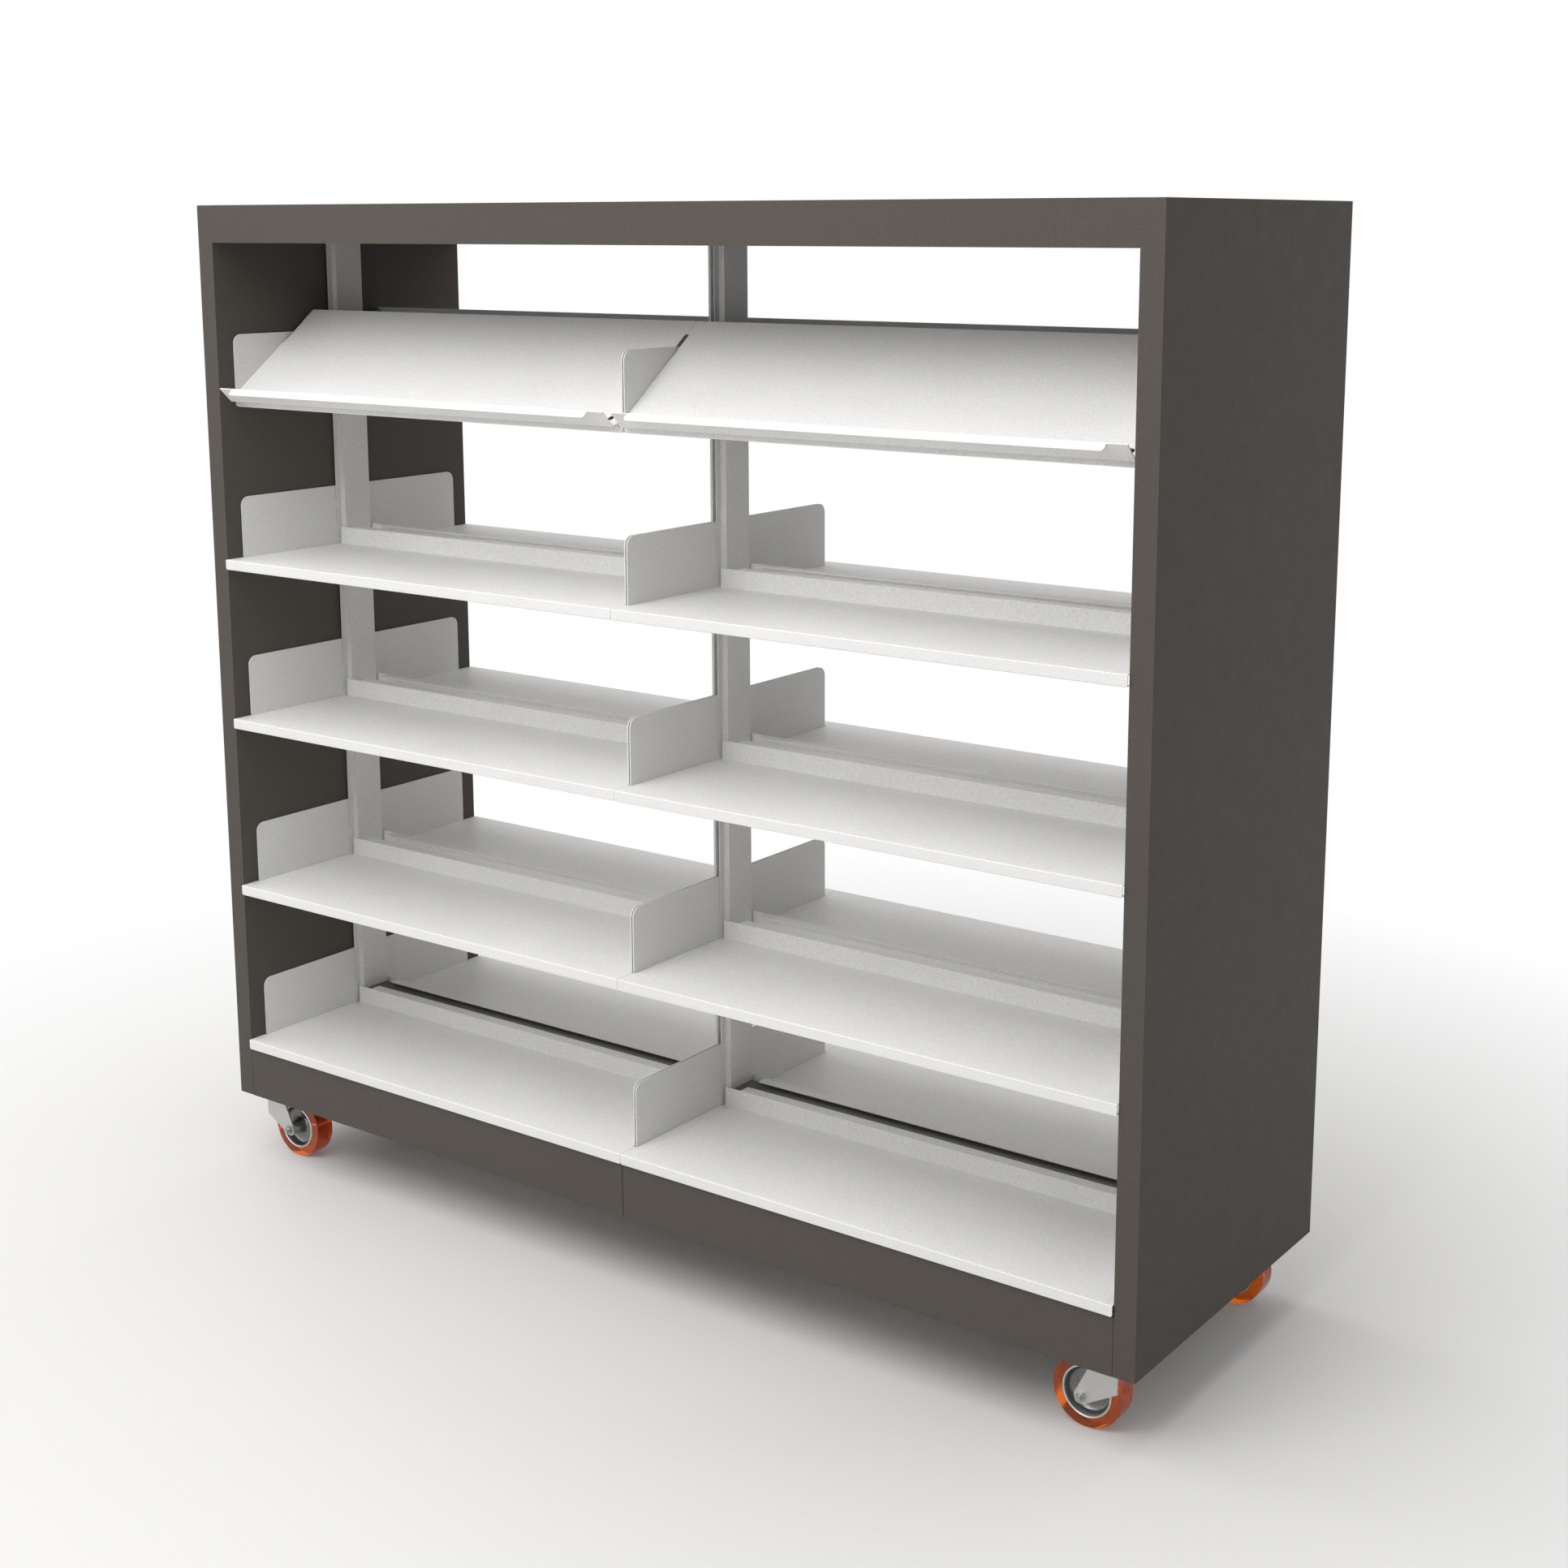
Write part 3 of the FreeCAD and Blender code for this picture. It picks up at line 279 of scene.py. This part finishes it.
def soften(obj, width, segments=2):
    """A small machine edge on a CAD node, made by a modifier."""
    bevel = obj.modifiers.new("edge", "BEVEL")
    bevel.width = width
    bevel.segments = segments
    bevel.limit_method = "ANGLE"
    bevel.angle_limit = SHARP_EDGE
    bevel.use_clamp_overlap = True


for name, obj in nodes.items():
    for prefixes, material in MATERIALS:
        if name.startswith(prefixes):
            paint(obj, material)
    for prefixes, width in EDGES:
        if name.startswith(prefixes):
            soften(obj, width)


# ---------------------------------------------------------------- wheels

STRAIGHT = math.radians(172)    # corners of a profile flatter than this stay as they are
CORNER_REACH = 0.45             # most of a side that one rounded corner may take
HUB_BORE = 0.00508              # radius, a little over the axle's
HUB_GAP = 0.0001                # between the hub and the tyre that is cast round it
RING_PROUD = 0.0015             # the hub's ring stands this far past the tyre's flat side


def lathe(name, profile, centre, material, steps=128):
    """A closed ring turned about the axle (Y) from (radius, y) points, in metres."""
    mesh = bmesh.new()
    rings = []
    for step in range(steps):
        angle = 2 * math.pi * step / steps
        c, s = math.cos(angle), math.sin(angle)
        rings.append([mesh.verts.new((centre.x + r * c, centre.y + y, centre.z + r * s))
                      for r, y in profile])
    count = len(profile)
    for step in range(steps):
        here, there = rings[step], rings[(step + 1) % steps]
        for index in range(count):
            after = (index + 1) % count
            mesh.faces.new((here[index], here[after], there[after], there[index]))
    bmesh.ops.recalc_face_normals(mesh, faces=mesh.faces)
    data = bpy.data.meshes.new(name)
    mesh.to_mesh(data)
    mesh.free()
    obj = bpy.data.objects.new(name, data)
    scene.collection.objects.link(obj)
    for polygon in data.polygons:
        polygon.use_smooth = True
    paint(obj, material)
    return obj


def rounded(points, radius, steps=4):
    """Points of a closed profile with each sharp corner turned into a short curve."""
    result = []
    count = len(points)
    for index in range(count):
        before, here, after = (Vector(points[(index + k) % count]) for k in (-1, 0, 1))
        a, b = before - here, after - here
        if a.angle(b) > STRAIGHT:
            result.append(tuple(here))
            continue
        reach = min(radius, CORNER_REACH * a.length, CORNER_REACH * b.length)
        start, end = here + a.normalized() * reach, here + b.normalized() * reach
        for step in range(steps + 1):
            t = step / steps
            point = start * (1 - t) ** 2 + here * (2 * t * (1 - t)) + end * t ** 2
            result.append(tuple(point))
    return result


def both_faces(quarter):
    """A closed profile from its +Y half, mirrored about the wheel's middle plane."""
    return quarter + [(r, -y) for r, y in reversed(quarter)]


def tyre_quarter(seat, tread, half):
    """The +Y half of a tyre's section, from its seat on the hub round to the tread."""
    return [(seat, half - 0.0006), (seat + 0.0008, half), (tread - 0.0010, half),
            (tread, half - 0.0012)]


def hub_quarter(radius, boss_half, tyre_half):
    """The +Y half of a hub's section, from the bore out to the rim."""
    ring = tyre_half + RING_PROUD
    return [
        # the boss
        (HUB_BORE, boss_half), (0.0114, boss_half), (0.0130, boss_half - 0.0012),
        (0.0136, 0.0120),
        # the web and the wall of the dish
        (0.0150, 0.0070), (0.0185, 0.0052), (0.0270, 0.0050), (0.0330, 0.0058),
        (0.0372, 0.0085), (0.0394, 0.0135), (0.0405, tyre_half - 0.0006),
        # the turned ring, with a groove in its face
        (radius - 0.0034, ring - 0.0004), (radius - 0.0030, ring), (radius - 0.0020, ring),
        (radius - 0.0017, ring - 0.0009), (radius - 0.0013, ring - 0.0009),
        (radius - 0.0010, ring - 0.0001), (radius - 0.0003, ring - 0.0001),
        (radius, ring - 0.0004),
    ]


for corner in CORNERS:
    low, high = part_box("tyre_" + corner)
    centre = (low + high) / 2
    tread = (high.z - low.z) / 2
    half = (high.y - low.y) / 2
    hub_low, hub_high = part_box("hub_" + corner)
    boss_half = (hub_high.y - hub_low.y) / 2
    hub_radius = (hub_high.x - hub_low.x) / 2

    section = both_faces(tyre_quarter(hub_radius + HUB_GAP, tread, half))
    tyre = lathe("tyre_cast_" + corner, rounded(section, 0.0007), centre, TYRE)
    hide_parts("tyre_" + corner)
    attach(tyre, "wheel_" + corner)

    turned = lathe("hub_turned_" + corner, both_faces(hub_quarter(hub_radius, boss_half, half)),
                   centre, alloy("hub_alloy_" + corner, (0.60, 0.60, 0.59), centre))
    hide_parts("hub_" + corner)
    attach(turned, "wheel_" + corner)


# ---------------------------------------------------------------- floor, lights, world

FLOOR_HALF = 40.0                  # from the middle of the floor to its edge
FADE_START, FADE_END = 0.8, 2.6    # distances from the middle between which it turns white
FADE_SPAN = 10.0                   # the distance that the fade's ramp covers
WORLD_LIGHT = 0.32                 # the world's light on the object; it shows as white, 1
LAMP_AIM = (0.0, 0.0, 0.9)


def build_floor():
    """A grey floor that holds the shadow and fades to white all round."""
    size = FLOOR_HALF
    mesh = bpy.data.meshes.new("floor")
    mesh.from_pydata([(-size, -size, 0), (size, -size, 0), (size, size, 0), (-size, size, 0)], [],
                     [(0, 1, 2, 3)])
    floor = bpy.data.objects.new("floor", mesh)
    scene.collection.objects.link(floor)
    material, tree, output = new_material("studio_floor")
    where = position(tree)
    cloud = ramp(tree, noise(tree, where, scale=300.0, detail=2.0), (0.660, 0.652, 0.642),
                 (0.698, 0.690, 0.680), start=0.3, end=0.7)
    matt = add(tree, "ShaderNodeBsdfDiffuse", Color=cloud)
    glow = add(tree, "ShaderNodeEmission", Color=WHITE, Strength=1.0)
    far = ramp(tree, maths(tree, "DIVIDE", length(tree, where), FADE_SPAN), 0.0, 1.0,
               start=FADE_START / FADE_SPAN, end=FADE_END / FADE_SPAN)
    mix = tree.nodes.new("ShaderNodeMixShader")
    tree.links.new(maths(tree, "MULTIPLY", far, seen_directly(tree)), mix.inputs[0])
    tree.links.new(matt.outputs[0], mix.inputs[1])
    tree.links.new(glow.outputs[0], mix.inputs[2])
    tree.links.new(mix.outputs[0], output.inputs[0])
    paint(floor, material)


def build_world(strength):
    """A background that shows as white and lights the object with the given strength."""
    world = bpy.data.worlds.new("studio")
    scene.world = world
    world.use_nodes = True
    tree = world.node_tree
    tree.nodes.clear()
    output = tree.nodes.new("ShaderNodeOutputWorld")
    level = maths(tree, "ADD", maths(tree, "MULTIPLY", seen_directly(tree), 1.0 - strength),
                  strength)
    background = add(tree, "ShaderNodeBackground", Color=WHITE, Strength=level)
    tree.links.new(background.outputs[0], output.inputs[0])


def area_light(name, place, size, power):
    data = bpy.data.lights.new(name, "AREA")
    data.shape = "SQUARE"
    data.size = size
    data.energy = power
    lamp = bpy.data.objects.new(name, data)
    scene.collection.objects.link(lamp)
    lamp.location = place
    aim = Vector(LAMP_AIM) - Vector(place)
    lamp.rotation_mode = "QUATERNION"
    lamp.rotation_quaternion = aim.to_track_quat("-Z", "Y")


build_floor()
build_world(WORLD_LIGHT)
area_light("overhead", (0.0, 0.0, 7.0), size=5.0, power=168.0)
area_light("front_near", (0.0, -3.2, 4.6), size=3.0, power=117.0)
area_light("left_high", (-5.5, 0.0, 6.0), size=6.0, power=215.0)
area_light("front_left", (-4.2, -6.2, 6.0), size=5.0, power=110.0)
area_light("back_high", (0.0, 5.0, 6.5), size=5.0, power=50.0)
area_light("front_fill", (0.0, -7.0, 3.0), size=4.0, power=62.0)


# ---------------------------------------------------------------- camera

# The camera that was solved from the photograph, a square one. Pixels, and metres for the place.
IMAGE = 1932.0
FOCAL = 2776.88
PRINCIPAL_X, PRINCIPAL_Y = 1014.755, 796.956
PLACE = Vector((2.52255, -3.23328, 1.89605))
RIGHT = Vector((0.81346650, 0.58161162, -0.00042745))
DOWN = Vector((0.10638688, -0.14951963, -0.98301867))
AHEAD = Vector((-0.57179900, 0.79960728, -0.18350505))
SENSOR = 36.0    # millimetres

camera_data = bpy.data.cameras.new("camera")
camera = bpy.data.objects.new("camera", camera_data)
scene.collection.objects.link(camera)
scene.camera = camera
turn = Matrix((RIGHT, -DOWN, -AHEAD)).transposed()
camera.matrix_world = Matrix.Translation(PLACE) @ turn.to_4x4()
camera_data.sensor_fit = "HORIZONTAL"
camera_data.sensor_width = SENSOR
camera_data.lens = SENSOR * FOCAL / IMAGE
camera_data.shift_x = (IMAGE / 2 - PRINCIPAL_X) / IMAGE
camera_data.shift_y = (PRINCIPAL_Y - IMAGE / 2) / IMAGE
camera_data.clip_start, camera_data.clip_end = 0.05, 200.0

scene.view_settings.view_transform = "Standard"
